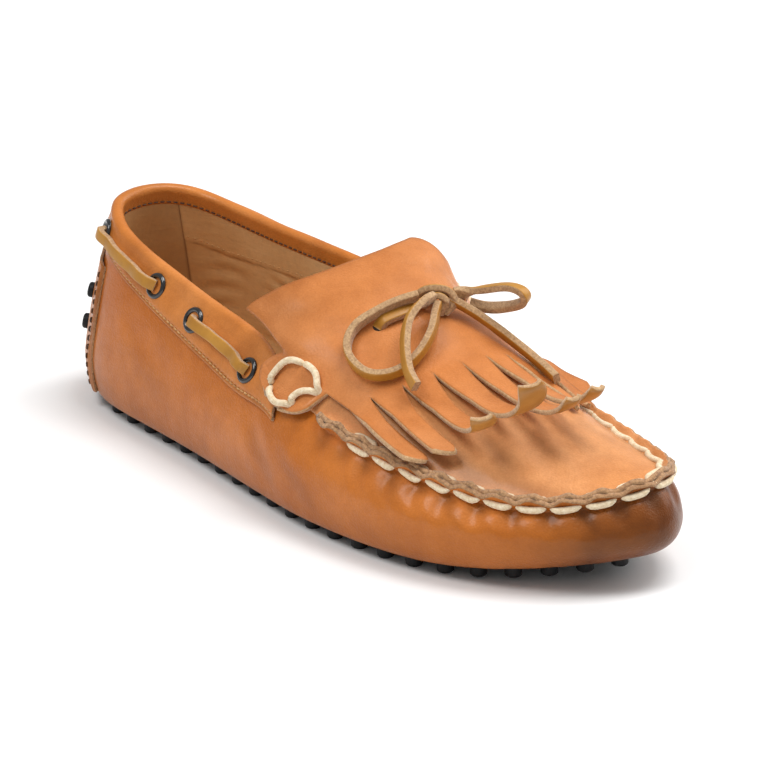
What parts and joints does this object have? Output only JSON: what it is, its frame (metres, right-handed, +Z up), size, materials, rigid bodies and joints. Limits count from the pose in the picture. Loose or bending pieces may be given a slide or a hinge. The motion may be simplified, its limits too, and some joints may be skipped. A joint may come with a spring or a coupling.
{
  "type": "driving loafer",
  "caption": "Right-foot leather driving moccasin with a pebbled rubber sole, a raised apron seam, a fringed kiltie, side laces in eyelets and a thong bow on the instep.",
  "frame": {"origin": "flat end of the sole stud at the middle of the heel, on the floor", "axes": "+X to the toe, +Y to the inner side of the foot, +Z up"},
  "size_m": [0.2825, 0.0973, 0.0839],
  "materials": {
    "tan_leather": "smooth tan calf, waxed, darker at toe and heel",
    "band_leather": "smooth tan calf",
    "kiltie_leather": "smooth tan calf with a raw ochre underside and beige cut edges",
    "thong": "ochre thong with a beige suede side",
    "cream_cord": "undyed cream lace",
    "eyelet": "gloss black enamel",
    "rubber": "matt black",
    "lining": "beige tan lining leather"
  },
  "bodies": {
    "root": {"bow_end_inner": "thong", "bow_end_outer": "thong", "bow_knot": "thong", "bow_loop_inner": "thong", "bow_loop_outer": "thong", "collar_band": "band_leather", "eyelet_inner_1": "eyelet", "eyelet_inner_2": "eyelet", "eyelet_inner_3": "eyelet", "eyelet_inner_4": "eyelet", "eyelet_outer_1": "eyelet", "eyelet_outer_2": "eyelet", "eyelet_outer_3": "eyelet", "eyelet_outer_4": "eyelet", "heel_strip": "band_leather", "heel_stud_1": "rubber", "heel_stud_2": "rubber", "heel_stud_3": "rubber", "heel_stud_4": "rubber", "heel_stud_5": "rubber", "heel_stud_6": "rubber", "heel_stud_7": "rubber", "heel_stud_8": "rubber", "insole": "lining", "kiltie": "kiltie_leather", "lace_inner_1": "thong", "lace_inner_2": "thong", "lace_instep_inner": "thong", "lace_instep_outer": "thong", "lace_outer_1": "thong", "lace_outer_2": "thong", "sole": "rubber", "tab_cord_inner": "cream_cord", "tab_cord_outer": "cream_cord", "upper": "tan_leather"}
  },
  "joints": []
}
